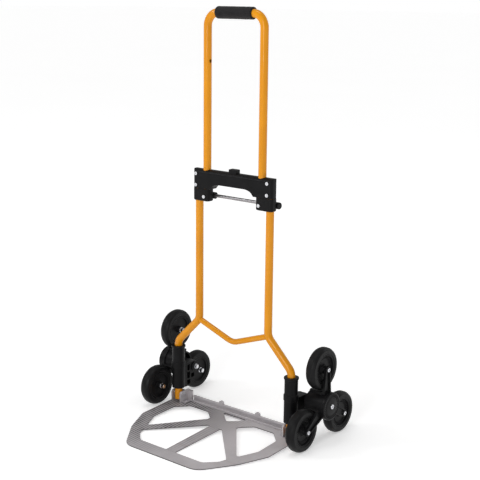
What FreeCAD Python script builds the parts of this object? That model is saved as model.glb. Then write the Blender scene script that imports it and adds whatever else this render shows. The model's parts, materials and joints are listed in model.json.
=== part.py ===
"""Stair climbing trolley: folding tube frame, telescopic handle, toe plate and two three-wheel clusters.

Row frame, millimetres: +Z up, +X to the right, the load stands in front (-Y). The origin is at the
bottom centre of the object's box. Shapes are drawn in the frame of the tube plane, which lies at
y = tube_plane, and every finished piece is moved there at the end.
"""
import FreeCAD, Part
import math
import os
import re
import Sketcher

Vector = FreeCAD.Vector
Rotation = FreeCAD.Rotation

# Driving dimensions in millimetres and degrees
DIMENSIONS = {
    # Whole object
    "tube_plane": 43.5,         # Y of the plane that holds all frame tubes
    "gap": 0.3,                 # clearance between round faces that turn or slide
    # Frame tubes
    "tube_radius": 9.5,
    "tube_bore": 8.3,
    "upright_x": 105.4,
    "upright_top": 612,
    "bend_z": 243,
    "bend_radius": 28,
    "leg_x": 175,
    "leg_elbow_z": 172,
    "leg_bottom": 18,
    "cross_radius": 7,
    "cross_bore": 6,
    "cross_dip_z": 205,
    # Telescopic handle
    "handle_x": 81.6,
    "handle_top": 978.6,
    "handle_bottom": 546,
    "handle_bend": 31,
    "grip_radius": 14,
    "grip_half": 52,
    "pin_z": 597,
    "travel": 272,
    "lock_hole": 4.2,
    # Yoke on top of the uprights
    "yoke_half": 117,
    "yoke_depth": 13,
    "yoke_top": 617,
    "yoke_bottom": 571,
    "arch_z": 585,
    "arch_half": 62,
    "yoke_screw_high": 606,
    "yoke_screw_low": 579,
    # Slide blocks and cross rod
    "block_bottom": 541,
    "block_top": 570,
    "block_half": 12.3,
    "block_screw_z": 552.5,
    "rod_y": 15,
    "rod_z": 553,
    "rod_radius": 4,
    "rod_half": 118.5,
    # Release button and lock pins
    "button_half": 11.5,
    "button_top": 625.5,
    "pin_radius": 3.5,
    # Toe plate
    "plate_front": 260,
    "plate_rear": 17,
    "plate_seam": 183,
    "plate_thick": 2,
    "plate_tilt": 1.8,
    "plate_half": 197,
    "bar_half": 147.5,
    "bar_front": 17.2,
    "bar_rear": 31,
    "bar_top": 24,
    "tab_x": 57,
    # Toe plate hinge at the foot of each leg
    "hinge_z": 32,
    "hinge_pin": 3,
    "ear_gap": 12.5,
    "ear_thick": 3,
    "ear_reach": 8,
    "ear_front": 11,
    "foot_z": 10.9,
    "foot_thick": 2.5,
    "rivet_x": 154.5,
    "rivet_y": 9,
    # Wheel brackets
    "sleeve_radius": 16.4,
    "waist_radius": 15.9,
    "collar_radius": 17.7,
    "sleeve_bottom": 48,
    "collar_z": 104,
    "sleeve_top": 160,
    "axle_y": 48,
    "axle_z": 93.3,
    "axle_radius": 4,
    "boss_radius": 13,
    "boss_in": 160,
    "boss_out": 197,
    # Wheel clusters, measured along the axle from the middle of the trolley
    "spoke": 86.6,
    "drum_radius": 30,
    "drum_in": 200,
    "drum_out": 240,
    "arm_in": 238.8,
    "arm_out": 245,
    "arm_floor": 241.6,
    "cap_radius": 33,
    "cap_in": 251,
    "cap_out": 258,
    "wheel_radius": 50,
    "wheel_in": 213,
    "wheel_out": 238,
    "rim_radius": 35,
    "wheel_bolt": 3,
}

doc = FreeCAD.newDocument("StairTrolley")
sheet = doc.addObject("Spreadsheet::Sheet", "Dimensions")
for row, (alias, number) in enumerate(DIMENSIONS.items(), start=1):
    sheet.set(f"A{row}", alias)
    sheet.set(f"B{row}", str(number))
    sheet.setAlias(f"B{row}", alias)
doc.recompute()

ALONG = {
    "Z": Rotation(),
    "X": Rotation(Vector(1, 1, 1), 120),    # local X, Y, Z become Y, Z, X
    "Y": Rotation(Vector(1, 1, 1), 240),    # local X, Y, Z become Z, X, Y
}
SIDES = (("Right", ""), ("Left", "-"))
pieces = []


# ---- Helpers -------------------------------------------------------------------------------------

def bound(text):
    """The expression with each dimension's alias pointing at the sheet."""
    def link(match):
        return "Dimensions." + match.group() if match.group() in DIMENSIONS else match.group()
    return re.sub(r"[a-z_]+", link, str(text))


def value(text):
    return float(sheet.evalExpression(str(text)))


def bind(item, prop, text):
    item.setExpression(prop, bound(text))


def place(item, at=(0, 0, 0), along="Z"):
    item.Placement = FreeCAD.Placement(Vector(*[value(c) for c in at]), ALONG[along])
    for letter, text in zip("xyz", at):
        bind(item, f"Placement.Base.{letter}", text)
    return item


def keep(item, label):
    """Name a finished piece and list it for export."""
    item.Label = label
    pieces.append(item)
    return item


def box(name, low, high):
    item = doc.addObject("Part::Box", name)
    for side, a, b in zip(("Length", "Width", "Height"), low, high):
        bind(item, side, f"({b}) - ({a})")
    return place(item, low)


def cylinder(name, radius, start, end, at=(0, 0), along="Z"):
    """A cylinder from start to end along an axis; at gives the other two coordinates in X, Y, Z order."""
    item = doc.addObject("Part::Cylinder", name)
    bind(item, "Radius", radius)
    bind(item, "Height", f"({end}) - ({start})")
    base = list(at)
    base.insert("XYZ".index(along), start)
    return place(item, base, along)


def nut(name, radius, start, end, at, along="X"):
    """A hexagonal prism, its radius measured across the corners."""
    item = doc.addObject("Part::Prism", name)
    item.Polygon = 6
    bind(item, "Circumradius", radius)
    bind(item, "Height", f"({end}) - ({start})")
    base = list(at)
    base.insert("XYZ".index(along), start)
    return place(item, base, along)


def fuse(name, *parts):
    item = doc.addObject("Part::MultiFuse", name)
    item.Shapes = list(parts)
    return item


def cut(name, base, *tools):
    item = doc.addObject("Part::Cut", name)
    item.Base = base
    item.Tool = tools[0] if len(tools) == 1 else fuse(name + "Tools", *tools)
    return item


def group(name, parts):
    item = doc.addObject("Part::Compound", name)
    item.Links = list(parts)
    return item


def mirror(item, label):
    twin = doc.addObject("Part::Mirroring", label)
    twin.Source = item
    twin.Normal = Vector(1, 0, 0)
    return twin


def new_sketch(body, name, plane="XY_Plane", offset=(0, 0, 0)):
    """A sketch on one of the body's own origin planes, lifted off it by the offset in its own axes."""
    sketch = body.newObject("Sketcher::SketchObject", name)
    support = [f for f in body.Origin.OriginFeatures if f.Role == plane][0]
    sketch.AttachmentSupport = [(support, "")]
    sketch.MapMode = "FlatFace"
    for letter, text in zip("xyz", offset):
        bind(sketch, f"AttachmentOffset.Base.{letter}", text)
    doc.recompute()
    return sketch


def tangent_points(corner, before, after, radius):
    """Where an arc of this radius leaves the two runs that meet at a corner, and its middle point."""
    back = (before - corner).normalize()
    ahead = (after - corner).normalize()
    half = back.getAngle(ahead) / 2
    reach = radius / math.tan(half)
    inward = (back + ahead).normalize()
    depth = math.hypot(radius, reach) - radius
    return corner + back * reach, corner + inward * depth, corner + ahead * reach


def draw(sketch, corners, closed=True):
    """Straight runs between corners (u, v, radius or None), with tangent arcs, bound to the sheet."""
    spots = [Vector(value(u), value(v), 0) for u, v, _ in corners]
    count = len(spots)
    ends = []
    shapes = []
    arcs = {}
    for k, (_, _, radius) in enumerate(corners):
        if radius is None:
            ends.append((spots[k], spots[k]))
            continue
        start, middle, end = tangent_points(spots[k], spots[k - 1], spots[(k + 1) % count], value(radius))
        ends.append((start, end))
        arcs[k] = Part.Arc(start, middle, end)
    first = sketch.GeometryCount
    runs = count if closed else count - 1
    for k in range(runs):
        shapes.append(Part.LineSegment(ends[k][1], ends[(k + 1) % count][0]))
    arc_index = {}
    for k, arc in arcs.items():
        arc_index[k] = first + len(shapes)
        shapes.append(arc)
    sketch.addGeometry(shapes, False)
    rules = []
    bindings = []
    for k, (u, v, radius) in enumerate(corners):
        has_before = closed or k > 0
        has_after = closed or k < count - 1
        before = first + (k - 1) % count
        after = first + k
        if radius is None:
            if has_before and has_after:
                rules.append(Sketcher.Constraint("Coincident", before, 2, after, 1))
            spot = (after, 1) if has_after else (before, 2)
        else:
            arc = arc_index[k]
            near, far = arc_ends(sketch, arc, ends[k][0])
            rules.append(Sketcher.Constraint("Tangent", before, 2, arc, near))
            rules.append(Sketcher.Constraint("Tangent", arc, far, after, 1))
            bindings.append((len(rules), radius))
            rules.append(Sketcher.Constraint("Radius", arc, value(radius)))
            point = sketch.addGeometry(Part.Point(spots[k]), True)
            rules.append(Sketcher.Constraint("PointOnObject", point, 1, before))
            rules.append(Sketcher.Constraint("PointOnObject", point, 1, after))
            spot = (point, 1)
        for kind, text in (("DistanceX", u), ("DistanceY", v)):
            bindings.append((len(rules), text))
            rules.append(Sketcher.Constraint(kind, -1, 1, *spot, value(text)))
    known = len(sketch.Constraints)
    sketch.addConstraint(rules)
    for index, text in bindings:
        bind(sketch, f"Constraints[{known + index}]", text)
    return sketch


def arc_ends(sketch, arc, start):
    """Which of an arc's two ends is the given start: sketch arcs always run anticlockwise."""
    if (sketch.getPoint(arc, 1) - start).Length < (sketch.getPoint(arc, 2) - start).Length:
        return 1, 2
    return 2, 1


def circle(sketch, radius, u=0, v=0):
    ring = Part.Circle(Vector(value(u), value(v), 0), Vector(0, 0, 1), value(radius))
    index = sketch.addGeometry(ring, False)
    for kind, text in (("DistanceX", u), ("DistanceY", v)):
        rule = sketch.addConstraint(Sketcher.Constraint(kind, -1, 1, index, 3, value(text)))
        bind(sketch, f"Constraints[{rule}]", text)
    rule = sketch.addConstraint(Sketcher.Constraint("Radius", index, value(radius)))
    bind(sketch, f"Constraints[{rule}]", radius)
    return sketch


def new_body(name, at=(0, 0, 0), along="Z"):
    return place(doc.addObject("PartDesign::Body", name), at, along)


def pad(body, sketch, length, flipped=False):
    feature = body.newObject("PartDesign::Pad", sketch.Name + "Pad")
    feature.Profile = sketch
    feature.Reversed = flipped
    bind(feature, "Length", length)
    sketch.Visibility = False
    return feature


def pocket(body, sketch, length, flipped=False):
    """Cut into the body, and make sure that the cut really takes material away."""
    doc.recompute()
    before = body.Shape.Volume
    feature = body.newObject("PartDesign::Pocket", sketch.Name + "Pocket")
    feature.Profile = sketch
    feature.Reversed = flipped
    bind(feature, "Length", length)
    doc.recompute()
    if body.Shape.Volume > before - 1:
        raise ValueError(f"{sketch.Name} cuts nothing")
    return feature


def round_edges(body, radius, chosen):
    """Fillet the edges whose two ends both satisfy a test."""
    doc.recompute()
    base = body.Tip
    names = []
    for number, edge in enumerate(body.Shape.Edges, start=1):
        ends = [body.Placement.inverse().multVec(vertex.Point) for vertex in edge.Vertexes]
        if len(ends) == 2 and all(chosen(p) for p in ends):
            names.append(f"Edge{number}")
    fillet = body.newObject("PartDesign::Fillet", body.Name + "Fillet")
    fillet.Base = (base, names)
    bind(fillet, "Radius", radius)
    return fillet


def lathe(name, profile, at=(0, 0, 0), along="Z"):
    """A turned piece: profile corners are (radius, position along the axis, rounding)."""
    body = new_body(name, at, along)
    sketch = draw(new_sketch(body, name + "Profile", "XZ_Plane"), profile)
    turned = body.newObject("PartDesign::Revolution", name + "Turned")
    turned.Profile = sketch
    turned.ReferenceAxis = (sketch, ["V_Axis"])
    turned.Angle = 360
    return body


def pipe(name, corners, radius):
    """A round bar along straight runs and bends in the tube plane; it starts vertically downwards."""
    body = new_body(name)
    path = draw(new_sketch(body, name + "Path", "XZ_Plane"), corners, closed=False)
    section = new_sketch(body, name + "Section", "XY_Plane", (corners[0][0], 0, corners[0][1]))
    circle(section, radius)
    swept = body.newObject("PartDesign::AdditivePipe", name + "Swept")
    swept.Profile = section
    swept.Spine = path
    return body


def screw(name, at_x, at_z, face, head=4, shank=2, length=5):
    """A cross-recessed pan head on a face that looks to -Y, with its shank behind it."""
    parts = fuse(
        name + "Blank",
        cylinder(name + "Head", head, f"-({face}) - 2.2", f"-({face})", (at_x, at_z), "Y"),
        cylinder(name + "Shank", shank, f"-({face})", f"-({face}) + {length}", (at_x, at_z), "Y"),
    )
    low = f"-({face}) - 2.5"
    deep = f"-({face}) - 1"
    slots = []
    for tag, wide, tall in (("Wide", 2.2, 0.5), ("Tall", 0.5, 2.2)):
        corner = (f"{at_x} - {wide}", low, f"{at_z} - {tall}")
        slots.append(box(f"{name}Slot{tag}", corner, (f"{at_x} + {wide}", deep, f"{at_z} + {tall}")))
    return cut(name, parts, *slots)


# ---- Frame: tubes and plugs ------------------------------------------------------------------------

def side_path():
    return [
        ("upright_x", "upright_top", None),
        ("upright_x", "bend_z", "bend_radius"),
        ("leg_x", "leg_elbow_z", "bend_radius"),
        ("leg_x", "leg_bottom", None),
    ]


def side_tubes():
    """The bent side tubes: upright, outward elbow and leg, drilled for the hinge pin and yoke screws."""
    solid = pipe("SideSolid", side_path(), "tube_radius")
    bore = pipe("SideBore", side_path(), "tube_bore")
    holes = [bore]
    holes.append(cylinder("HingeHole", "hinge_pin + 0.1", "leg_x - 15", "leg_x + 15", (0, "hinge_z"), "X"))
    for tag, height in (("High", "yoke_screw_high"), ("Low", "yoke_screw_low")):
        holes.append(cylinder(f"ScrewHole{tag}", 2.1, -12, 0, ("upright_x", height), "Y"))
    right = keep(cut("SideTube", solid, *holes), "side_tube_right")
    keep(mirror(right, "SideTubeTwin"), "side_tube_left")
    return solid


def cross_tube(side_solid):
    """The bent cross tube, coped against both side tubes at their upper bends."""
    def bar(name, radius):
        body = new_body(name)
        corners = [
            ("-upright_x", "bend_z", None),
            (0, "cross_dip_z", 40),
            ("upright_x", "bend_z", None),
        ]
        path = draw(new_sketch(body, name + "Path", "XZ_Plane"), corners, closed=False)
        section = body.newObject("Sketcher::SketchObject", name + "Section")
        section.AttachmentSupport = [(path, "Edge1")]
        section.MapMode = "NormalToEdge"
        section.MapPathParameter = 0
        doc.recompute()
        circle(section, radius)
        swept = body.newObject("PartDesign::AdditivePipe", name + "Swept")
        swept.Profile = section
        swept.Spine = path
        return body

    hollow = cut("CrossHollow", bar("CrossSolid", "cross_radius"), bar("CrossBore", "cross_bore"))
    twin = mirror(side_solid, "SideSolidTwin")
    keep(cut("CrossTube", hollow, side_solid, twin), "cross_tube")


def leg_plugs():
    """Plastic plugs in the open feet of both legs."""
    plugs = []
    for tag, sign in SIDES:
        leg = (f"{sign}leg_x", 0)
        plugs.append(cylinder(f"Plug{tag}", "tube_bore - 0.05", "leg_bottom + 0.5", "leg_bottom + 8", leg))
    keep(group("LegPlugs", plugs), "leg_plugs")


# ---- Yoke ------------------------------------------------------------------------------------------

YOKE_SCREWS = {"High": "yoke_screw_high", "Low": "yoke_screw_low"}


def yoke_shell(name, front):
    """One half of the yoke: arched outline, rounded ends, bores for four tubes and a central cavity."""
    body = new_body(name)
    side = [
        ("yoke_half", "yoke_top", None),
        ("yoke_half", "yoke_bottom", None),
        ("arch_half + 3", "yoke_bottom", 1),
        ("arch_half - 4", "yoke_bottom + 9", 16),
        ("arch_half - 18", "arch_z", 30),
    ]
    outline = side + [(f"-({u})", v, r) for u, v, r in reversed(side)]
    sketch = draw(new_sketch(body, name + "Outline", "XZ_Plane"), outline)
    pad(body, sketch, "yoke_depth", flipped=not front)
    face_y = -value("yoke_depth") if front else value("yoke_depth")
    ends = value("yoke_half") - 0.01
    round_edges(body, 10, lambda p: abs(p.x) > ends and abs(p.y - face_y) < 0.01)
    near, far = ("-yoke_depth + 2.5", 0) if front else (0, "yoke_depth - 2.5")
    low, high = ("-8.3", 0) if front else (0, "8.3")
    hole = "button_half + gap"
    tools = [
        box(name + "Cavity", (-64, near, "arch_z + 3"), (64, far, "yoke_top - 3")),
        box(name + "ButtonHole", (f"-({hole})", low, "yoke_top - 4"), (hole, high, "yoke_top + 1")),
        cylinder(name + "PinBore", "pin_radius + gap", -73, 73, (0, "pin_z"), "X"),
    ]
    for tag, sign in SIDES:
        guide = (f"{sign}handle_x", 0)
        socket = (f"{sign}upright_x", 0)
        tools.append(
            cylinder(f"{name}Guide{tag}", "tube_radius + gap", "yoke_bottom - 1", "yoke_top + 1", guide))
        tools.append(
            cylinder(f"{name}Socket{tag}", "tube_radius", "yoke_bottom - 1", "upright_top", socket))
        if front:
            tools.extend(yoke_screw_hole(tag, sign, level) for level in YOKE_SCREWS)
    return cut(name + "Shell", body, *tools)


def yoke_screw_hole(tag, sign, level):
    name = f"YokeScrewHole{level}{tag}"
    return cylinder(name, 2.1, "-yoke_depth - 1", 0, (f"{sign}upright_x", YOKE_SCREWS[level]), "Y")


def yoke():
    keep(yoke_shell("YokeFront", True), "yoke_front_shell")
    keep(yoke_shell("YokeRear", False), "yoke_rear_shell")
    screws = []
    for tag, sign in SIDES:
        for level, height in YOKE_SCREWS.items():
            at_x = f"{sign}upright_x"
            screws.append(screw(f"YokeScrew{level}{tag}", at_x, height, "yoke_depth", length=6))
    keep(group("YokeScrews", screws), "yoke_screws")


def release_button():
    """The button, its flange inside the yoke and the four wedge prongs that squeeze the lock pins in."""
    prongs = []
    for side, sign in (("Right", 1), ("Left", -1)):
        for row, near in (("Front", "-8"), ("Rear", "4.5")):
            body = new_body(f"Prong{side}{row}", (0, f"({near}) + 3.5", 0))
            corners = [(30, 612, None), (30, 597, None), (22, 605, None), (22, 612, None)]
            corners = [(sign * u, v, r) for u, v, r in corners]
            sketch = draw(new_sketch(body, f"Prong{side}{row}Outline", "XZ_Plane"), corners)
            pad(body, sketch, 3.5)
            prongs.append(body)
    flange = box("ButtonFlange", (-30, -8, 609), (30, 8, 613.5))
    cap = box("ButtonCap", ("-button_half", -8, 611), ("button_half", 8, "button_top"))
    rounded = doc.addObject("Part::Fillet", "ButtonCapRounded")
    rounded.Base = cap
    doc.recompute()
    low = value("button_top") - 1
    rounded.Edges = [(k, 2.0, 2.0) for k, edge in enumerate(cap.Shape.Edges, start=1)
                     if any(vertex.Point.z > low for vertex in edge.Vertexes)]
    keep(fuse("ReleaseButton", rounded, flange, *prongs), "release_button")


def lock_pins():
    """Two lock pins with slanted carriers; their tips stop just short of the handle tubes."""
    carrier = new_body("PinCarrier", (0, 8, 0))
    corners = [(12, 590.5, None), (27, 590.5, None), (27, 599.5, None), (23.5, 603, None), (12, 603, None)]
    pad(carrier, draw(new_sketch(carrier, "PinCarrierOutline", "XZ_Plane"), corners), 16)
    rod = cylinder("PinRod", "pin_radius", 20, "handle_x - tube_radius - gap", (0, "pin_z"), "X")
    right = keep(fuse("LockPin", carrier, rod), "lock_pin_right")
    keep(mirror(right, "LockPinTwin"), "lock_pin_left")
    coil = doc.addObject("Part::Helix", "LockSpringPath")
    coil.Pitch = 3.2
    coil.Height = 22
    coil.Radius = 2.6
    wire = doc.addObject("Part::Circle", "LockSpringWire")
    wire.Radius = 0.5
    wire.Placement = FreeCAD.Placement(Vector(2.6, 0, 0), Rotation(Vector(1, 0, 0), 90))
    swept = doc.addObject("Part::Sweep", "LockSpring")
    swept.Sections = [wire]
    swept.Spine = coil
    swept.Solid = True
    swept.Frenet = True
    keep(place(swept, (-11, 0, "pin_z"), "X"), "lock_spring")


# ---- Telescopic handle -----------------------------------------------------------------------------

def handle():
    path = [
        ("-handle_x", "handle_bottom", None),
        ("-handle_x", "handle_top", "handle_bend"),
        ("handle_x", "handle_top", "handle_bend"),
        ("handle_x", "handle_bottom", None),
    ]
    tools = [pipe("HandleBore", path, "tube_bore")]
    for tag, height in (("Low", "pin_z"), ("High", "pin_z + travel")):
        tools.append(cylinder(f"LockHole{tag}", "lock_hole", "-handle_x", "handle_x", (0, height), "X"))
    for tag, sign in SIDES:
        spot = (f"{sign}handle_x", "block_screw_z")
        tools.append(cylinder(f"BlockScrewHole{tag}", 2.1, -12, 0, spot, "Y"))
    keep(cut("HandleTube", pipe("HandleSolid", path, "tube_radius"), *tools), "handle_tube")
    grip = [
        ("tube_radius + 0.1", "-grip_half", None),
        ("grip_radius", "-grip_half", 2.5),
        ("grip_radius", "grip_half", 2.5),
        ("tube_radius + 0.1", "grip_half", None),
    ]
    keep(lathe("Grip", grip, (0, 0, "handle_top"), "X"), "handle_grip")


def slide_block():
    """The block on the handle tube's foot, with a running bore for the upright and a rod housing."""
    body = new_body("SlideBody")
    outline = [
        ("handle_x - block_half", "-block_half", 9),
        ("upright_x + block_half", "-block_half", 9),
        ("upright_x + block_half", "block_half", 9),
        ("handle_x - block_half", "block_half", 9),
    ]
    sketch = draw(new_sketch(body, "SlideOutline", "XY_Plane", (0, 0, "block_bottom")), outline)
    pad(body, sketch, "block_top - block_bottom")
    low = value("block_bottom") + 0.01
    round_edges(body, 3, lambda p: p.z < low)
    rod_line = ("rod_y", "rod_z")
    inner = "handle_x - block_half - 1"
    housing = cylinder("RodHousing", 8, inner, "upright_x + block_half - 1", rod_line, "X")
    tools = [
        cylinder("SlideBore", "tube_radius + gap", "block_bottom - 1", "block_top + 1", ("upright_x", 0)),
        cylinder("SlideSocket", "tube_radius", "handle_bottom", "block_top + 1", ("handle_x", 0)),
        cylinder("SlideRodBore", "rod_radius", 0, "rod_half", rod_line, "X"),
        cylinder("SlideScrewHole", 2.1, -20, 0, ("handle_x", "block_screw_z"), "Y"),
    ]
    right = keep(cut("SlideBlock", fuse("SlideBlank", body, housing), *tools), "slide_block_right")
    keep(mirror(right, "SlideBlockTwin"), "slide_block_left")
    screws = [screw(f"BlockScrew{tag}", f"{sign}handle_x", "block_screw_z", "block_half", length=5)
              for tag, sign in SIDES]
    keep(group("BlockScrews", screws), "slide_block_screws")


def cross_rod():
    keep(cylinder("CrossRod", "rod_radius", "-rod_half", "rod_half", ("rod_y", "rod_z"), "X"), "cross_rod")
    profile = [
        (0, "rod_half + 3.5", None),
        (8, "rod_half + 3.5", 2),
        (8, "upright_x + block_half - 0.5", 1),
        ("rod_radius", "upright_x + block_half - 0.5", None),
        ("rod_radius", "rod_half", None),
        (0, "rod_half", None),
    ]
    right = keep(lathe("RodKnob", profile, (0, "rod_y", "rod_z"), "X"), "rod_knob_right")
    keep(mirror(right, "RodKnobTwin"), "rod_knob_left")


# ---- Toe plate -------------------------------------------------------------------------------------

def both_sides(corners):
    """A closed outline from its right half, listed from the front round to the rear."""
    return corners + [(f"-({u})", v, r) for u, v, r in reversed(corners)]


def tilted(item):
    """Lean the toe plate so that its front edge lies on the ground and its rear stands higher."""
    item.Placement = FreeCAD.Placement(Vector(), Rotation(Vector(1, 0, 0), value("plate_tilt")))
    bind(item, "Placement.Base.z", "plate_front * sin(plate_tilt * 1 deg)")
    return item


def toe_plates():
    """The open toe plate in two extrusions that meet at a seam, with five openings between the spokes."""
    body = new_body("Plate")
    outline = [
        (108, "-plate_front", 40),
        (162, "-plate_seam - 2", 18),
        (164.5, "-plate_seam + 2", 3),
        ("plate_half - 1", -110, 12),
        ("plate_half", "plate_rear", None),
    ]
    pad(body, draw(new_sketch(body, "PlateOutline"), both_sides(outline)), "plate_thick")
    right_openings = {
        "Side": [
            (41, -34, 10), (73.5, -5, 8), (130, -5, 10), (160.5, -35, 8), (162, -104, 8), (139, -155, 5),
        ],
        "Front": [(16, -60, 3), (14, -223, 3), (94, -223, 16), (122, -197, 10), (129, -179, 4)],
    }
    for name, corners in right_openings.items():
        for tag, sign in (("Right", 1), ("Left", -1)):
            turned = [(sign * u, v, r) for u, v, r in corners]
            pocket(body, draw(new_sketch(body, f"{name}Opening{tag}"), turned), "plate_thick", flipped=True)
    rear = [(38, 13, 3), (0, -22, 5), (-38, 13, 3)]
    pocket(body, draw(new_sketch(body, "RearOpening"), rear), "plate_thick", flipped=True)
    rivet_holes = [cylinder(f"PlateRivetHole{tag}", 2.3, -1, 6, (f"{sign}rivet_x", "rivet_y"))
                   for tag, sign in SIDES]
    drilled = cut("PlateDrilled", body, *rivet_holes)
    front_half = box("FrontHalf", (-250, -300, -1), (250, "-plate_seam", 6))
    front = doc.addObject("Part::Common", "ToePlateFront")
    front.Base = drilled
    front.Tool = front_half
    keep(tilted(front), "toe_plate_front")
    keep(tilted(cut("ToePlateRear", drilled, front_half)), "toe_plate_rear")


def hinge_bar():
    """The extruded rear rail: it hooks the plate's rear edge, stands on the ground and carries two tabs."""
    body = new_body("HingeRail", ("-bar_half", 0, 0), "X")
    profile = [
        (13, 4.5, None), ("bar_rear - 3.5", 4.5, None),
        ("bar_rear - 3.5", 0, None), ("bar_rear", 0, None),
        ("bar_rear", "bar_top", 1.5), ("bar_rear - 5.5", "bar_top", 1.5),
        ("bar_rear - 5.5", "bar_top - 4", None), ("bar_rear - 3.5", "bar_top - 4", None),
        ("bar_rear - 3.5", 12, None), (20, 12, None),
        (20, 15, 1), ("bar_front", 15, 1),
        ("bar_front", 8, None), (13, 8, None),
    ]
    pad(body, draw(new_sketch(body, "HingeRailProfile"), profile), "2 * bar_half")
    tabs = [cylinder(f"Tab{tag}", 7, "bar_rear - 5.5", "bar_rear", (f"{sign}tab_x", "bar_top + 1"), "Y")
            for tag, sign in SIDES]
    keep(fuse("HingeBar", body, *tabs), "toe_plate_hinge_bar")


def hinge_bracket():
    """The folded bracket at a leg: two ears on the pin, a rear web and a foot riveted to the plate."""
    ears = []
    for tag, near in (("Inner", "leg_x - ear_gap - ear_thick"), ("Outer", "leg_x + ear_gap")):
        body = new_body(f"Ear{tag}", (near, 0, 0), "X")
        outline = [
            ("-ear_front", "foot_z", None),
            ("-ear_front", "hinge_z + ear_reach", 7),
            (27, "hinge_z + ear_reach", 6),
            (27, "foot_z", None),
        ]
        pad(body, draw(new_sketch(body, f"Ear{tag}Outline"), outline), "ear_thick")
        ears.append(body)
    inner = "leg_x - ear_gap - 1"
    web = box("EarWeb", (inner, 19.6, "foot_z"), ("leg_x + ear_gap + 1", 22.6, 34))
    foot = box("EarFoot", (148, -4, "foot_z"), (inner, 24, "foot_z + foot_thick"))
    block = box("EarBlock", (148.5, 19.6, "foot_z"), (inner, 26, 37))
    holes = [
        cylinder("EarPinHole", "hinge_pin", "leg_x - 30", "leg_x + 30", (0, "hinge_z"), "X"),
        cylinder("EarRivetHole", 2.05, 0, 30, ("rivet_x", "rivet_y")),
    ]
    blank = fuse("HingeBlank", *ears, web, foot, block)
    right = keep(cut("HingeBracket", blank, *holes), "hinge_bracket_right")
    keep(mirror(right, "HingeBracketTwin"), "hinge_bracket_left")
    pin = fuse(
        "HingePin",
        cylinder("HingePinShank", "hinge_pin", "leg_x - 18", "leg_x + 18", (0, "hinge_z"), "X"),
        cylinder("HingePinHeadIn", 5, "leg_x - 17.8", "leg_x - 15.5", (0, "hinge_z"), "X"),
        cylinder("HingePinHeadOut", 5, "leg_x + 15.5", "leg_x + 17.8", (0, "hinge_z"), "X"),
    )
    keep(pin, "hinge_pin_right")
    keep(mirror(pin, "HingePinTwin"), "hinge_pin_left")
    rivets = []
    seat = "foot_z + foot_thick"
    for tag, sign in SIDES:
        spot = (f"{sign}rivet_x", "rivet_y")
        rivets.append(fuse(
            f"Rivet{tag}",
            cylinder(f"RivetShank{tag}", 2, 8.6, f"{seat} + 0.5", spot),
            cylinder(f"RivetHead{tag}", 3.6, seat, f"{seat} + 1.6", spot),
        ))
    keep(group("PlateRivets", rivets), "plate_rivets")


# ---- Wheel brackets --------------------------------------------------------------------------------

def wheel_bracket():
    """The sleeve that turns on a leg, and the ribbed web that carries the axle boss behind it."""
    profile = [
        ("tube_radius + gap", "sleeve_bottom", None),
        ("sleeve_radius", "sleeve_bottom", 1.5),
        ("sleeve_radius", "collar_z", None),
        ("collar_radius", "collar_z", 0.6),
        ("collar_radius", "collar_z + 13", 0.6),
        ("waist_radius", "collar_z + 14", None),
        ("waist_radius", "sleeve_top - 5", None),
        ("collar_radius", "sleeve_top - 4", 0.6),
        ("collar_radius", "sleeve_top", 1),
        ("tube_radius + gap", "sleeve_top", None),
    ]
    sleeve = lathe("Sleeve", profile, ("leg_x", 0, 0))
    web = new_body("Web", ("leg_x - 12", 0, 0), "X")
    outline = [(4, 48, None), (34, 45.5, 4), (60, 73, 8), (63, 94, 8), (54, 107, 8), (4, 109, None)]
    pad(web, draw(new_sketch(web, "WebOutline"), outline), 24)
    boss = cylinder("Boss", "boss_radius", "boss_in", "boss_out", ("axle_y", "axle_z"), "X")
    pockets = [
        box("WebPocketTop", (150, 20, 88), ("leg_x + 8", 29, 104)),
        box("WebPocketMiddle", (150, 19, 67), ("leg_x + 8", 30, 84)),
        box("WebPocketLow", (150, 19, 51), ("leg_x + 8", 31, 63)),
        box("WebPocketRear", (150, 34, 66), ("leg_x + 8", 46, 77)),
    ]
    bore = cylinder("SleeveClear", "tube_radius + gap", "sleeve_bottom - 5", "sleeve_top + 1", ("leg_x", 0))
    axle = cylinder("BossBore", "axle_radius + 0.05", 150, 210, ("axle_y", "axle_z"), "X")
    ribbed = cut("WebRibbed", web, *pockets)
    blank = fuse("BracketBlank", sleeve, ribbed, boss)
    right = keep(cut("WheelBracket", blank, bore, axle), "wheel_bracket_right")
    keep(mirror(right, "WheelBracketTwin"), "wheel_bracket_left")


def cluster_axle():
    """The axle bolt from the hub cap to the boss, with its nut and washer on the inner end."""
    bolt = lathe("AxleBolt", [
        (0, "boss_in - 7", None), ("axle_radius", "boss_in - 7", 0.8),
        ("axle_radius", "cap_out - 3.7", None), (5.8, "cap_out - 3.7", None),
        (5.8, "cap_out + 2", 1.5), (2.6, "cap_out + 2", None),
        (2.6, "cap_out", None), (0, "cap_out", None),
    ], (0, "axle_y", "axle_z"), "X")
    keep(bolt, "axle_bolt_right")
    keep(mirror(bolt, "AxleBoltTwin"), "axle_bolt_left")
    nuts = cut(
        "AxleNut",
        fuse("AxleNutBlank", nut("AxleHex", 5.6, "boss_in - 6", "boss_in - 1.5", ("axle_y", "axle_z")),
             cylinder("AxleWasher", 6.2, "boss_in - 1.6", "boss_in", ("axle_y", "axle_z"), "X")),
        cylinder("AxleNutBore", "axle_radius", 140, 170, ("axle_y", "axle_z"), "X"),
    )
    keep(nuts, "axle_nut_right")
    keep(mirror(nuts, "AxleNutTwin"), "axle_nut_left")


# ---- Wheel clusters --------------------------------------------------------------------------------

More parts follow.
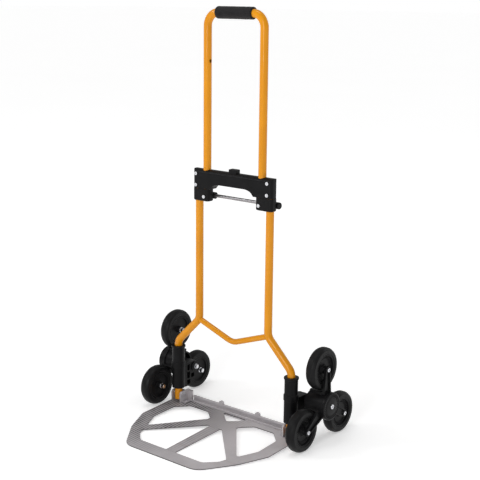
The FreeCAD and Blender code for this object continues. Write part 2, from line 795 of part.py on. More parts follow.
def polar(body, feature):
    """Repeat a feature three times round the axle."""
    pattern = body.newObject("PartDesign::PolarPattern", feature.Name + "Round")
    pattern.Originals = [feature]
    pattern.Axis = ([f for f in body.Origin.OriginFeatures if f.Role == "Z_Axis"][0], [""])
    pattern.Angle = 360
    pattern.Occurrences = 3
    body.Tip = pattern
    doc.recompute()


def star():
    """The moulded star: hollow drum, necks towards the wheels and three channelled outer arms."""
    body = new_body("Star", (0, "axle_y", "axle_z"), "X")
    drum = circle(new_sketch(body, "DrumCircle", "XY_Plane", (0, 0, "drum_in")), "drum_radius")
    pad(body, drum, "drum_out - drum_in")
    neck = [(-13, 20, None), (13, 20, None), (13, 34.5, 2), (-13, 34.5, 2)]
    sketch = draw(new_sketch(body, "Neck", "XY_Plane", (0, 0, "drum_in + 3")), neck)
    polar(body, pad(body, sketch, "arm_in - drum_in"))
    arm = [(-15, 18, None), (15, 18, None), (8.5, "spoke", None),
           (7, "spoke + 8", 6), (-7, "spoke + 8", 6), (-8.5, "spoke", None)]
    sketch = draw(new_sketch(body, "Arm", "XY_Plane", (0, 0, "arm_in")), arm)
    polar(body, pad(body, sketch, "arm_out - arm_in"))
    channel = [(-9.6, 29, 2), (9.6, 29, 2), (6, "spoke", None), (4.9, "spoke + 5.8", 4.5),
               (-4.9, "spoke + 5.8", 4.5), (-6, "spoke", None)]
    sketch = draw(new_sketch(body, "Channel", "XY_Plane", (0, 0, "arm_out")), channel)
    polar(body, pocket(body, sketch, "arm_out - arm_floor"))
    seat = circle(new_sketch(body, "CapSeat", "XY_Plane", (0, 0, "arm_in")), "cap_radius")
    pad(body, seat, "cap_in - arm_in")
    hole = circle(new_sketch(body, "ArmHole", "XY_Plane", (0, 0, "arm_out")), "wheel_bolt + 0.1", 0, "spoke")
    polar(body, pocket(body, hole, 20))
    ring = new_sketch(body, "DrumRing", "XY_Plane", (0, 0, "drum_in"))
    circle(ring, "drum_radius - 4")
    circle(ring, 14)
    pocket(body, ring, 32, flipped=True)
    bore = circle(new_sketch(body, "DrumBore", "XY_Plane", (0, 0, "drum_in")), 10)
    pocket(body, bore, 60, flipped=True)
    right = keep(body, "cluster_star_right")
    keep(mirror(right, "StarTwin"), "cluster_star_left")


def cluster_hub():
    """The hub cap over the drum, and two bushes that run on the axle bolt."""
    cap = lathe("HubCap", [
        ("axle_radius + gap", "cap_in", None),
        (10, "cap_in", None),
        (10, "cap_out - 4", None),
        ("cap_radius - 3", "cap_out - 4", None),
        ("cap_radius - 3", "cap_in", None),
        ("cap_radius", "cap_in", None),
        ("cap_radius", "cap_out - 1.5", 2.5),
        ("cap_radius - 6", "cap_out", None),
        (6.3, "cap_out", None),
        (6.3, "cap_out - 4", None),
        ("axle_radius + gap", "cap_out - 4", None),
    ], (0, "axle_y", "axle_z"), "X")
    keep(cap, "hub_cap_right")
    keep(mirror(cap, "HubCapTwin"), "hub_cap_left")
    bushes = []
    for tag, near in (("In", "drum_in - 0.5"), ("Out", "drum_out - 12")):
        bush = cylinder(f"Bush{tag}", 10, near, f"{near} + 12", ("axle_y", "axle_z"), "X")
        bore = cylinder(f"BushBore{tag}", "axle_radius + 0.05", 190, 250, ("axle_y", "axle_z"), "X")
        bushes.append(cut(f"Bush{tag}Bored", bush, bore))
    right = keep(group("HubBushes", bushes), "hub_bushes_right")
    keep(mirror(right, "HubBushesTwin"), "hub_bushes_left")


WHEELS = {"top": ("0", "spoke"), "front": ("-spoke * cos(30 deg)", "-spoke * sin(30 deg)"),
          "rear": ("spoke * cos(30 deg)", "-spoke * sin(30 deg)")}


def wheel_centre(where):
    along_y, along_z = WHEELS[where]
    return f"axle_y + {along_y}", f"axle_z + {along_z}"


def wheel_fasteners():
    """Shouldered bolts through the arms and wheels, with a nut and washer behind each wheel."""
    bolts = []
    nuts = []
    for where in WHEELS:
        centre = wheel_centre(where)
        bolts.append(lathe(f"WheelBolt{where.title()}", [
            (0, 199.5, None), ("wheel_bolt", 199.5, 0.6), ("wheel_bolt", "arm_floor", None),
            (4.8, "arm_floor", None), (4.8, "arm_out + 2.3", 1.2), (2, "arm_out + 2.3", None),
            (2, "arm_out", None), (0, "arm_out", None),
        ], (0, *centre), "X"))
        hexagon = nut(f"WheelHex{where.title()}", 5.6, 200.5, 208.9, centre)
        washer = cylinder(f"WheelWasher{where.title()}", 6.5, 208.8, 210, centre, "X")
        bore = cylinder(f"WheelNutBore{where.title()}", "wheel_bolt", 199, 212, centre, "X")
        blank = fuse(f"WheelNutBlank{where.title()}", hexagon, washer)
        nuts.append(cut(f"WheelNut{where.title()}", blank, bore))
    for name, parts in (("wheel_bolts", bolts), ("wheel_nuts", nuts)):
        right = keep(group(name.title(), parts), name + "_right")
        keep(mirror(right, name.title() + "Twin"), name + "_left")


def wheels():
    """Six wheels: a solid rubber tyre on a dished plastic hub."""
    tyre = [
        ("rim_radius", "wheel_in + 2", None),
        ("rim_radius + 2", "wheel_in", 1),
        ("wheel_radius - 4", "wheel_in", 3),
        ("wheel_radius", "wheel_in + 7", 9),
        ("wheel_radius", "wheel_out - 7", 9),
        ("wheel_radius - 4", "wheel_out", 3),
        ("rim_radius + 2", "wheel_out", 1),
        ("rim_radius", "wheel_out - 2", None),
    ]
    hub = [
        ("wheel_bolt + 0.1", 210.2, None), (8, 210.2, 1), (9, "wheel_in + 6", None),
        ("rim_radius - 5", "wheel_in + 6", 2), ("rim_radius - 4", "wheel_in + 1.5", 1),
        ("rim_radius", "wheel_in + 1.5", None), ("rim_radius", "wheel_out - 1.5", None),
        ("rim_radius - 4", "wheel_out - 1.5", 1), ("rim_radius - 5", "wheel_out - 6", 2),
        (9, "wheel_out - 6", None), (8, "wheel_out + 0.4", 1),
        ("wheel_bolt + 0.1", "wheel_out + 0.4", None),
    ]
    for where in WHEELS:
        for name, profile in (("tyre", tyre), ("wheel_hub", hub)):
            body = lathe(f"{name}{where.title()}".replace("_", ""), profile, (0, *wheel_centre(where)), "X")
            right = keep(body, f"{name}_{where}_right")
            keep(mirror(right, body.Name + "Twin"), f"{name}_{where}_left")


# ---- Assembly and export ---------------------------------------------------------------------------

def move_to_row_frame():
    """Shift every finished piece from the tube plane's frame to the object's own origin."""
    for item in pieces:
        if item.TypeId == "Part::Mirroring":
            continue
        bindings = {path.lstrip("."): text for path, text in item.ExpressionEngine}
        own = bindings.get("Placement.Base.y")
        shift = f"{own} + Dimensions.tube_plane" if own else "Dimensions.tube_plane"
        item.setExpression("Placement.Base.y", shift)


def check_and_export():
    """Stop if any feature failed; otherwise write one STEP file for each piece."""
    doc.recompute()
    failed = [item.Name for item in doc.Objects if {"Invalid", "Error"} & set(item.State)]
    if failed:
        raise ValueError(f"failed features: {failed}")
    os.makedirs("parts", exist_ok=True)
    for item in pieces:
        shape = item.Shape
        if shape.isNull() or not shape.isValid() or shape.Volume <= 0:
            raise ValueError(f"{item.Label} has no valid shape")
        shape.exportStep(f"parts/{item.Label}.step")


side_solid = side_tubes()
cross_tube(side_solid)
leg_plugs()
yoke()
release_button()
lock_pins()
handle()
slide_block()
cross_rod()
toe_plates()
hinge_bar()
hinge_bracket()
wheel_bracket()
cluster_axle()
star()
cluster_hub()
wheel_fasteners()
wheels()
move_to_row_frame()
check_and_export()
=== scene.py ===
"""Looks of the stair climbing trolley: materials, foam grip, ribbed toe plate, wheels, light, camera.

All lengths are in metres, in the row frame of the CAD model: +Z up, +X to the right, load side -Y.
"""
import bmesh
import bpy
import json
import math
from mathutils import Matrix, Vector, noise


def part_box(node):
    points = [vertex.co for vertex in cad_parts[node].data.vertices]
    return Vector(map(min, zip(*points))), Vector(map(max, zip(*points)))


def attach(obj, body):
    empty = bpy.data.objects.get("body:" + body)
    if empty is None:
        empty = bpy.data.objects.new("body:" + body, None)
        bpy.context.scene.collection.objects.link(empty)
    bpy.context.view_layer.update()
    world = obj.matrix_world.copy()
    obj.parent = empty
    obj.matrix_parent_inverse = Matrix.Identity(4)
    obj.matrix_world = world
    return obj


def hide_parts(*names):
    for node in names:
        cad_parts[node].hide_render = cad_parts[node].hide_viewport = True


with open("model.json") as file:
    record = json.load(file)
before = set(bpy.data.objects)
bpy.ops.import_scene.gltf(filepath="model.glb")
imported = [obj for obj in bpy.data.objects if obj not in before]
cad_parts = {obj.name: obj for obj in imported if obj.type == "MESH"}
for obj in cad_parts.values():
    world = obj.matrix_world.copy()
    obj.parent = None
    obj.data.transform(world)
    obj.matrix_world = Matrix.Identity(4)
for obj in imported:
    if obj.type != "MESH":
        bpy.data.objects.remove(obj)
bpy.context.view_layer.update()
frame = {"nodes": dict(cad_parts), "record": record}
nodes = frame["nodes"]
SIDES = {"right": 1, "left": -1}
WHEEL_PLACES = ("top", "front", "rear")
MM = 0.001
MIX_COLOUR_INPUT, MIX_COLOUR_OUTPUT = 6, 2  # first colour input and the colour output of a Mix node


# ---- Node helpers ---------------------------------------------------------------------------------

class Shader:
    """A material under construction: a Principled shader and short ways to add nodes to it."""

    def __init__(self, name, roughness=0.5, metallic=0.0, specular=0.5, coat=0.0):
        self.material = bpy.data.materials.new(name)
        self.material.use_nodes = True
        self.tree = self.material.node_tree
        self.shader = self.tree.nodes["Principled BSDF"]
        self.shader.inputs["Roughness"].default_value = roughness
        self.shader.inputs["Metallic"].default_value = metallic
        self.shader.inputs["Specular IOR Level"].default_value = specular
        self.shader.inputs["Coat Weight"].default_value = coat
        self.place = self.tree.nodes.new("ShaderNodeTexCoord").outputs["Object"]

    def node(self, kind, **settings):
        """A new node of a kind, with its settings."""
        made = self.tree.nodes.new(kind)
        for key, setting in settings.items():
            setattr(made, key, setting)
        return made

    def link(self, source, target):
        """Joins an output to an input."""
        self.tree.links.new(source, target)

    def stretched(self, scale):
        """Object coordinates scaled along each axis, for grain that runs one way."""
        mapping = self.node("ShaderNodeMapping")
        mapping.inputs["Scale"].default_value = scale
        self.link(self.place, mapping.inputs["Vector"])
        return mapping.outputs["Vector"]

    def noise(self, scale, detail=3.0, rough=0.5, vector=None):
        """Cloudy noise from 0 to 1, finer as the scale goes up."""
        made = self.node("ShaderNodeTexNoise")
        made.inputs["Scale"].default_value = scale
        made.inputs["Detail"].default_value = detail
        made.inputs["Roughness"].default_value = rough
        self.link(vector or self.place, made.inputs["Vector"])
        return made.outputs["Fac"]

    def cells(self, scale):
        """How far each spot lies from the nearest of many scattered points, for pits and grain."""
        made = self.node("ShaderNodeTexVoronoi")
        made.inputs["Scale"].default_value = scale
        self.link(self.place, made.inputs["Vector"])
        return made.outputs["Distance"]

    def range(self, source, low, high, to_low=0.0, to_high=1.0):
        """Source mapped from low..high to to_low..to_high, held at the ends."""
        made = self.node("ShaderNodeMapRange")
        for index, number in enumerate((low, high, to_low, to_high), start=1):
            made.inputs[index].default_value = number
        self.link(source, made.inputs["Value"])
        return made.outputs["Result"]

    def maths(self, operation, *numbers):
        """A Math node on plain numbers or other outputs."""
        made = self.node("ShaderNodeMath", operation=operation)
        for socket, number in zip(made.inputs, numbers):
            if isinstance(number, (int, float)):
                socket.default_value = number
            else:
                self.link(number, socket)
        return made.outputs["Value"]

    def mix(self, share, first, second):
        """Colour from first to second; each is an RGB triple or another colour output."""
        made = self.node("ShaderNodeMix", data_type="RGBA")
        self.link(share, made.inputs["Factor"])
        for number, colour in enumerate((first, second), start=MIX_COLOUR_INPUT):
            socket = made.inputs[number]
            if isinstance(colour, tuple):
                socket.default_value = (*colour, 1)
            else:
                self.link(colour, socket)
        return made.outputs[MIX_COLOUR_OUTPUT]

    def sharp_edge_mask(self, radius=0.0015, low=0.08, high=0.3):
        """1 near sharp outer edges, broken up by noise, 0 elsewhere."""
        bevel = self.node("ShaderNodeBevel", samples=4)
        bevel.inputs["Radius"].default_value = radius
        geometry = self.node("ShaderNodeNewGeometry")
        turned = self.node("ShaderNodeVectorMath", operation="DISTANCE")
        self.link(bevel.outputs["Normal"], turned.inputs[0])
        self.link(geometry.outputs["Normal"], turned.inputs[1])
        edge = self.range(turned.outputs["Value"], low, high)
        broken = self.range(self.noise(420, 4), 0.45, 0.7)
        return self.maths("MULTIPLY", edge, broken)

    def colour(self, output):
        """Takes the base colour from an output."""
        self.link(output, self.shader.inputs["Base Color"])

    def roughness(self, source, low, high):
        """Roughness from low to high, following a noise."""
        self.link(self.range(source, 0.3, 0.7, low, high), self.shader.inputs["Roughness"])

    def bump(self, source, distance, strength, after=None):
        """Relief of the given height in metres, on top of the relief in after."""
        made = self.node("ShaderNodeBump")
        made.inputs["Distance"].default_value = distance
        made.inputs["Strength"].default_value = strength
        self.link(source, made.inputs["Height"])
        if after is not None:
            self.link(after, made.inputs["Normal"])
        self.link(made.outputs["Normal"], self.shader.inputs["Normal"])
        return made.outputs["Normal"]


# ---- Materials ------------------------------------------------------------------------------------

def powder_coat():
    """Orange-yellow powder coat: faint orange peel, slight shade drift and rubbed marks."""
    look = Shader("frame_paint", specular=0.05, coat=0.75)
    look.shader.inputs["Coat Roughness"].default_value = 0.13
    look.shader.inputs["Coat IOR"].default_value = 1.36
    drift = look.range(look.noise(9, 3), 0.35, 0.65)
    paint = look.mix(drift, (0.635, 0.240, 0.0025), (0.69, 0.270, 0.0035))
    rubs = look.range(look.noise(60, 6, 0.7, look.stretched((1, 1, 0.12))), 0.64, 0.78, 0, 0.35)
    look.colour(look.mix(rubs, paint, (0.54, 0.21, 0.010)))
    look.roughness(look.noise(40, 4), 0.30, 0.42)
    peel = look.bump(look.noise(520, 2), 0.00012, 0.3)
    look.bump(look.noise(90, 2), 0.0003, 0.1, after=peel)
    return look.material


def black_plastic():
    """Satin glass-filled nylon: fine spark texture, cloudy sheen and paler sharp edges."""
    look = Shader("black_plastic", specular=0.12)
    cloud = look.range(look.noise(28, 4), 0.35, 0.65)
    base = look.mix(cloud, (0.0034, 0.0034, 0.0038), (0.0062, 0.0060, 0.0066))
    # paler colour along sharp outer edges, broken up by noise
    look.colour(look.mix(look.sharp_edge_mask(), base, (0.030, 0.029, 0.030)))
    look.roughness(look.noise(70, 5), 0.34, 0.48)
    spark = look.bump(look.noise(2600, 2), 0.00008, 0.55)
    look.bump(look.cells(900), 0.00005, 0.25, after=spark)
    return look.material


def foam():
    """Charcoal closed-cell foam: small pits, soft sheen and hand-polished patches."""
    look = Shader("grip_foam", specular=0.15)
    look.shader.inputs["Sheen Weight"].default_value = 0.08
    look.shader.inputs["Sheen Roughness"].default_value = 0.6
    cloud = look.range(look.noise(55, 4), 0.35, 0.65)
    base = look.mix(cloud, (0.0048, 0.0044, 0.0051), (0.0078, 0.0071, 0.0081))
    pits = look.range(look.cells(1100), 0.0, 0.35)
    look.colour(look.mix(pits, (0.008, 0.008, 0.009), base))
    look.roughness(look.noise(80, 3), 0.72, 0.9)
    deep = look.bump(pits, 0.00035, 0.55)
    look.bump(look.noise(260, 3), 0.0004, 0.3, after=deep)
    return look.material


def rubber():
    """Satin solid rubber with a soft mottle and a little floor dust."""
    look = Shader("tyre_rubber", specular=0.15)
    cloud = look.range(look.noise(30, 4), 0.35, 0.65)
    base = look.mix(cloud, (0.0036, 0.0036, 0.0039), (0.0060, 0.0059, 0.0063))
    dust = look.range(look.noise(130, 6, 0.65), 0.58, 0.75, 0, 0.35)
    look.colour(look.mix(dust, base, (0.019, 0.018, 0.017)))
    look.roughness(look.noise(60, 5), 0.38, 0.54)
    fine = look.bump(look.noise(1800, 2), 0.00008, 0.5)
    look.bump(look.noise(220, 3, 0.6), 0.0002, 0.18, after=fine)
    return look.material


def aluminium(name="plate_metal", tread=False):
    """Dull extruded aluminium: die lines along X, dull patches and small scratches.

    The tread adds short notches across the ribs, with painted shade in them, fading out away from one
    rear corner, and painted shade on the upright faces: the sawn edges and the walls of the openings.
    """
    notch_scale = 42  # notches 7.5 mm apart
    notch_centre = (-0.17, -0.02, 0)
    notch_fade_from, notch_fade_to = 0.12, 0.24  # distances from there
    look = Shader(name, metallic=0.55, specular=0.35)
    lines = look.noise(60, 4, 0.6, look.stretched((0.25, 40, 40)))
    patch = look.range(look.noise(14, 5, 0.6), 0.35, 0.65)
    base = look.mix(patch, (0.49, 0.467, 0.480), (0.55, 0.525, 0.539))
    relief = look.bump(lines, 0.00008, 0.4)
    if tread:
        notches = look.node("ShaderNodeTexWave", bands_direction="X", wave_profile="SIN")
        notches.inputs["Scale"].default_value = notch_scale
        look.link(look.place, notches.inputs["Vector"])
        notch = look.range(notches.outputs["Fac"], 0.25, 0.75)
        away = look.node("ShaderNodeVectorMath", operation="DISTANCE")
        away.inputs[1].default_value = notch_centre
        look.link(look.place, away.inputs[0])
        kept = look.range(away.outputs["Value"], notch_fade_from, notch_fade_to, 1.0, 0.0)
        broken = look.range(look.noise(30, 3), 0.35, 0.60, 0.6, 1.0)
        notch = look.maths("MULTIPLY", notch, look.maths("MULTIPLY", kept, broken))
        # painted shade: the notches are coloured near black for the shade that falls in them
        base = look.mix(notch, base, (0.02, 0.018, 0.019))
        relief = look.bump(notch, 0.0003, -0.6, after=relief)
        # painted shade: faces that stand upright in the object's frame, the sawn edges and the walls of
        # the openings, are coloured near black
        facing = look.node("ShaderNodeSeparateXYZ")
        look.link(look.node("ShaderNodeTexCoord").outputs["Normal"], facing.inputs[0])
        flat = look.range(look.maths("ABSOLUTE", facing.outputs["Z"]), 0.2, 0.6)
        base = look.mix(flat, (0.055, 0.051, 0.053), base)
    scratch = look.range(look.noise(90, 8, 0.75, look.stretched((0.5, 6, 6))), 0.66, 0.72, 0, 0.4)
    look.colour(look.mix(scratch, base, (0.62, 0.60, 0.60)))
    look.roughness(look.noise(45, 5), 0.42, 0.58)
    look.bump(scratch, 0.00005, -0.5, after=relief)
    return look.material


def zinc():
    """Bright zinc plate with a mottled passivated sheen."""
    look = Shader("zinc_steel", metallic=1.0)
    mottle = look.range(look.noise(260, 4, 0.6), 0.35, 0.65)
    look.colour(look.mix(mottle, (0.60, 0.61, 0.64), (0.76, 0.76, 0.78)))
    look.roughness(look.noise(500, 4), 0.18, 0.34)
    look.bump(look.noise(1500, 3), 0.00004, 0.4)
    return look.material


def bright_rod():
    """Drawn steel rod: fine lines along its length and a slight cloudiness."""
    look = Shader("rod_steel", metallic=1.0)
    drawn = look.noise(900, 3, 0.6, look.stretched((0.02, 1, 1)))
    cloud = look.range(look.noise(70, 4), 0.35, 0.65)
    look.colour(look.mix(cloud, (0.27, 0.26, 0.27), (0.37, 0.36, 0.37)))
    look.roughness(look.noise(120, 4), 0.30, 0.40)
    look.bump(drawn, 0.00001, 0.3)
    return look.material


MATERIALS = {
    "frame_paint": powder_coat(),
    "black_plastic": black_plastic(),
    "grip_foam": foam(),
    "tyre_rubber": rubber(),
    "plate_metal": aluminium(),
    "zinc_steel": zinc(),
    "rod_steel": bright_rod(),
}
TREAD = aluminium("tread_metal", tread=True)


def finish_piece(piece, slot_name, body, *stands_for, material=None):
    """Give a new piece its material and slot, let it ride, and hide what it stands for."""
    piece.data.materials.clear()
    piece.data.materials.append(material or MATERIALS[slot_name])
    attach(piece, body)
    if stands_for:
        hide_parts(*stands_for)
    return piece


def paint_cad_nodes():
    """Each CAD node gets the procedural material of its own slot in the record."""
    for part in frame["record"]["subparts"]:
        piece = nodes[part["node"]]
        if not piece.material_slots:
            piece.data.materials.append(None)
        for slot in piece.material_slots:
            slot.material = MATERIALS[part["material_slot"]]


# ---- New pieces -----------------------------------------------------------------------------------

def rounded(corners, steps):
    """A closed outline from corners (u, v, rounding), each rounding turned into an arc of short runs."""
    outline = []
    for k, (u, v, radius) in enumerate(corners):
        corner = Vector((u, v))
        if not radius:
            outline.append(corner)
            continue
        back = (Vector(corners[k - 1][:2]) - corner).normalized()
        ahead = (Vector(corners[(k + 1) % len(corners)][:2]) - corner).normalized()
        half = back.angle(ahead) / 2
        centre = corner + (back + ahead).normalized() * (radius / math.sin(half))
        reach = radius / math.tan(half)
        start = (corner + back * reach - centre).normalized()
        end = (corner + ahead * reach - centre).normalized()
        for i in range(steps + 1):
            outline.append(centre + start.slerp(end, i / steps) * radius)
    return outline


def mesh_piece(name, points, faces):
    """A new object from points and faces, smooth except where its faces turn by more than 35 degrees."""
    mesh = bpy.data.meshes.new(name)
    mesh.from_pydata(points, [], faces)
    shape = bmesh.new()
    shape.from_mesh(mesh)
    bmesh.ops.recalc_face_normals(shape, faces=shape.faces)
    shape.to_mesh(mesh)
    shape.free()
    mesh.shade_smooth()
    mesh.set_sharp_from_angle(angle=math.radians(35))
    piece = bpy.data.objects.new(name, mesh)
    bpy.context.scene.collection.objects.link(piece)
    return piece


def turned(name, centre, profile, steps, shift):
    """A ring-shaped skin round an X axis, made from profile points (x, radius).

    For each point, shift gives how far it moves along X and how far outwards.
    """
    points = []
    faces = []
    for i, (x, radius) in enumerate(profile):
        following = (i + 1) % len(profile)
        for k in range(steps):
            angle = math.tau * k / steps
            along, out = shift(x, radius, angle)
            reach = radius + out
            spot = Vector((x + along, reach * math.cos(angle), reach * math.sin(angle)))
            points.append(Vector(centre) + spot)
            corner = (k + 1) % steps
            faces.append((i * steps + k, following * steps + k,
                          following * steps + corner, i * steps + corner))
    return mesh_piece(name, points, faces)


def box_centre(name):
    """The middle of a CAD node's box."""
    low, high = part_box(name)
    return (Vector(low) + Vector(high)) / 2


def foam_grip():
    """The foam sleeve on the handle: rounded ends, a faint waviness and small dents from use."""
    half, inner, outer, end_round = 52 * MM, 9.6 * MM, 14 * MM, 2.8 * MM
    runs, near = 70, 0.01 * MM
    waves_along, waves_round = 90, 2.2
    swell, dent = 0.22 * MM, 0.07 * MM
    corners = [(-half, inner, 0), (-half, outer, end_round)]
    corners += [(half, outer, end_round), (half, inner, 0)]
    outline = rounded(corners, steps=6)
    left = max(point.x for point in outline if point.x < 0 and point.y > outer - near)
    profile = []
    for point in outline:
        profile.append(point)
        if abs(point.x - left) < near and point.y > outer - near:
            profile.extend(Vector((left * (1 - 2 * k / runs), outer)) for k in range(1, runs))
    centre = box_centre("handle_grip")

    def soft(x, radius, angle):
        """Uneven skin outside, plain bore inside."""
        if radius < inner + 1 * MM:
            return 0, 0
        spot = Vector((x * waves_along, waves_round * math.cos(angle), waves_round * math.sin(angle)))
        return 0, swell * noise.noise(spot) + dent * noise.noise(spot * 4)

    grip = turned("foam_grip", centre, profile, 96, soft)
    finish_piece(grip, "grip_foam", "handle", "handle_grip")


def ribs_between(low, high, count, height, outer_from):
    """Raised radial ribs between two radii, on the face that lies further out than outer_from."""
    steepness = 1.6

    def shift(x, radius, angle):
        if abs(x) <= outer_from or not low <= radius <= high:
            return 0, 0
        wave = max(0.0, min(1.0, 0.5 + steepness * math.cos(count * angle)))
        return height * wave, 0
    return shift


def round_piece(name, node, side, corners, steps, shift):
    """A turned skin over a round CAD node; corners are (distance out, radius, rounding) in mm."""
    sign = SIDES[side]
    profile = rounded([(u * MM, v * MM, r * MM) for u, v, r in corners], steps=3)
    centre = box_centre(node)
    centre.x = sign * min(abs(corner[0]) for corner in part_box(node))
    return turned(name, centre, [Vector((sign * point.x, point.y)) for point in profile], steps, shift)


def wheel_hub(where, side):
    """A moulded wheel hub: deep outer recess, ring of small radial ribs, raised centre boss."""
    corners = [
        (0, 3.1, 0), (0, 8, 1), (8.8, 9, 1), (8.8, 30, 2), (4.3, 31, 1), (4.3, 35, 0.5),
        (26.3, 35, 0.5), (26.3, 32, 1), (22, 31, 1.2), (21.4, 30, 0), (21.4, 29.6, 0),
        (21.4, 24.4, 0), (21.4, 24, 0), (20.2, 22.5, 1), (20.2, 12, 1.5), (23.5, 11, 0.6),
        (23.5, 8.5, 0.6), (28.2, 8, 1), (28.2, 3.1, 0),
    ]
    node = f"wheel_hub_{where}_{side}"
    height = SIDES[side] * 1.6 * MM
    ribs = ribs_between(24.3 * MM, 29.7 * MM, count=32, height=height, outer_from=15 * MM)
    hub = round_piece(f"moulded_hub_{where}_{side}", node, side, corners, 256, ribs)
    finish_piece(hub, "black_plastic", f"wheel_{where}_{side}", node)


def hub_cap(side):
    """The round cap in the middle of a star: stepped rim, ring of fine radial ribs, shallow dome."""
    corners = [
        (0, 4.3, 0), (0, 10, 0.4), (3, 10, 0.4), (3, 30, 0.4), (0, 30, 0.3), (0, 33, 0.3),
        (5.2, 33, 1), (6.4, 31, 0.8), (6.4, 29.4, 0.5), (5.3, 28.8, 0.3), (5.3, 28.6, 0),
        (5.3, 22.4, 0), (5.3, 22.2, 0.3), (6.2, 21.4, 0.5), (7, 8.5, 1), (7, 6.3, 0.5),
        (3, 6.3, 0), (3, 4.3, 0),
    ]
    node = f"hub_cap_{side}"
    height = SIDES[side] * 0.8 * MM
    ribs = ribs_between(22.35 * MM, 28.65 * MM, count=40, height=height, outer_from=4 * MM)
    cap = round_piece(f"moulded_cap_{side}", node, side, corners, 320, ribs)
    finish_piece(cap, "black_plastic", f"cluster_{side}", node)


def ribbed_plate(name):
    """A toe plate extrusion with fine anti-slip grooves along X, cut into a copy of its CAD mesh."""
    pitch, width, depth = 3.4 * MM, 2.0 * MM, 0.5 * MM
    near, surface = 0.01 * MM, 0.05 * MM  # how close a point lies to a groove's middle, and to the top
    tilt = math.radians(1.8)
    along = Vector((0, math.cos(tilt), math.sin(tilt)))
    upwards = Vector((0, -math.sin(tilt), math.cos(tilt)))
    shape = bmesh.new()
    shape.from_mesh(nodes[name].data)
    shape.transform(nodes[name].matrix_world)
    bmesh.ops.remove_doubles(shape, verts=shape.verts, dist=1e-6)
    front = min(vert.co.dot(along) for vert in shape.verts)
    rear = max(vert.co.dot(along) for vert in shape.verts)
    top = max(vert.co.dot(upwards) for vert in shape.verts)
    for k in range(1, int((rear - front) / pitch)):
        middle = front + k * pitch
        for place in (middle - width / 2, middle, middle + width / 2):
            everything = shape.verts[:] + shape.edges[:] + shape.faces[:]
            bmesh.ops.bisect_plane(shape, geom=everything, plane_co=along * place, plane_no=along)
    for vert in shape.verts:
        steps = (vert.co.dot(along) - front) / pitch
        at_middle = abs(steps - round(steps)) * pitch < near and round(steps) >= 1
        if at_middle and vert.co.dot(upwards) > top - surface:
            vert.co -= upwards * depth
    mesh = bpy.data.meshes.new("ribbed_" + name)
    shape.to_mesh(mesh)
    shape.free()
    mesh.shade_flat()
    piece = bpy.data.objects.new("ribbed_" + name, mesh)
    bpy.context.scene.collection.objects.link(piece)
    finish_piece(piece, "plate_metal", "toe_plate", name, material=TREAD)


paint_cad_nodes()
foam_grip()
for side in SIDES:
    hub_cap(side)
    for where in WHEEL_PLACES:
        wheel_hub(where, side)
for plate in ("toe_plate_front", "toe_plate_rear"):
    ribbed_plate(plate)


# ---- Stage, light and camera ----------------------------------------------------------------------

def stage():
    """A pale studio floor, with some glow of its own that grows where the lamps fade."""
    half_size = 60
    lamps_fade, lamps_gone = 0.9, 2.2
    least_glow, most_glow = 0.36, 0.58
    mesh = bpy.data.meshes.new("floor")
    floor = bpy.data.objects.new("floor", mesh)
    bpy.context.scene.collection.objects.link(floor)
    shape = bmesh.new()
    bmesh.ops.create_grid(shape, x_segments=1, y_segments=1, size=half_size)
    shape.to_mesh(mesh)
    shape.free()
    look = Shader("floor_white", roughness=0.8, specular=0.1)
    cloud = look.range(look.noise(0.8, 2), 0.3, 0.7)
    look.colour(look.mix(cloud, (0.87, 0.87, 0.87), (0.89, 0.89, 0.89)))
    look.shader.inputs["Emission Color"].default_value = (1, 1, 1, 1)
    away = look.node("ShaderNodeVectorMath", operation="LENGTH")
    look.link(look.place, away.inputs[0])
    glow = look.range(away.outputs["Value"], lamps_fade, lamps_gone, least_glow, most_glow)
    look.link(glow, look.shader.inputs["Emission Strength"])
    mesh.materials.append(look.material)


def lamp(name, at, aim, power, size, height=None):
    """A round softbox of the given size, or a rectangular one when it has a height."""
    data = bpy.data.lights.new(name, "AREA")
    data.shape = "RECTANGLE" if height else "DISK"
    data.energy = power
    data.size = size
    if height:
        data.size_y = height
    lamp_object = bpy.data.objects.new(name, data)
    bpy.context.scene.collection.objects.link(lamp_object)
    lamp_object.location = at
    lamp_object.rotation_mode = "QUATERNION"
    lamp_object.rotation_quaternion = (Vector(aim) - Vector(at)).to_track_quat("-Z", "Y")


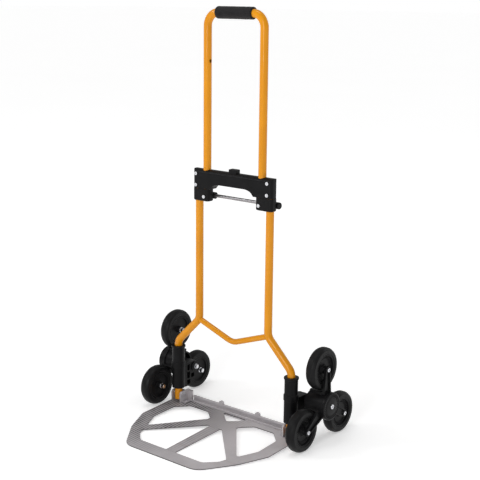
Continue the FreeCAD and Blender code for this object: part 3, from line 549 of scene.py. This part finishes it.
def studio_air():
    """Soft even light from all round, with a plain white backdrop behind the object."""
    world = bpy.data.worlds.new("studio")
    world.use_nodes = True
    tree = world.node_tree
    around = tree.nodes["Background"]
    around.inputs["Color"].default_value = (1, 1, 1, 1)
    around.inputs["Strength"].default_value = 0.46
    backdrop = tree.nodes.new("ShaderNodeBackground")
    backdrop.inputs["Strength"].default_value = 1.0
    backdrop.inputs["Color"].default_value = (1, 1, 1, 1)
    path = tree.nodes.new("ShaderNodeLightPath")
    either = tree.nodes.new("ShaderNodeMixShader")
    tree.links.new(path.outputs["Is Camera Ray"], either.inputs[0])
    tree.links.new(around.outputs[0], either.inputs[1])
    tree.links.new(backdrop.outputs[0], either.inputs[2])
    tree.links.new(either.outputs[0], tree.nodes["World Output"].inputs["Surface"])
    bpy.context.scene.world = world


def lights():
    """A tall key lamp near the camera, a side lamp for the cross tube, and fill from above and behind."""
    middle = (0, 0, 0.4)
    lamp("key", (0.78, -2.9, 1.45), (0, 0, 0.9), 33, 0.7, 1.55)
    lamp("side", (-2.2, -2.0, 2.2), middle, 19, 1.1)
    lamp("top", (-0.2, -0.3, 3.0), middle, 12, 1.0)
    lamp("back", (0.9, 2.4, 1.8), middle, 10, 1.6)
    studio_air()
    bpy.context.scene.view_settings.view_transform = "Standard"


def camera():
    """The studio camera, to the right of the load side and above the grip, looking slightly down."""
    eye_point = (1.4868, -1.7986, 1.0184)
    azimuth, pitch, roll = (math.radians(angle) for angle in (38.55, 13.32, 0.60))
    right = Vector((math.cos(azimuth), math.sin(azimuth), 0))
    level = Vector((-math.sin(azimuth), math.cos(azimuth), 0))
    ahead = level * math.cos(pitch) - Vector((0, 0, math.sin(pitch)))
    up = right.cross(ahead)
    turn = Matrix.Rotation(-roll, 3, ahead)
    right, up = turn @ right, turn @ up
    data = bpy.data.cameras.new("camera")
    data.lens = 77.78
    data.sensor_width = 36
    eye = bpy.data.objects.new("camera", data)
    bpy.context.scene.collection.objects.link(eye)
    axes = Matrix((right, up, -ahead)).transposed().to_4x4()
    eye.matrix_world = Matrix.Translation(eye_point) @ axes
    bpy.context.scene.camera = eye


stage()
lights()
camera()
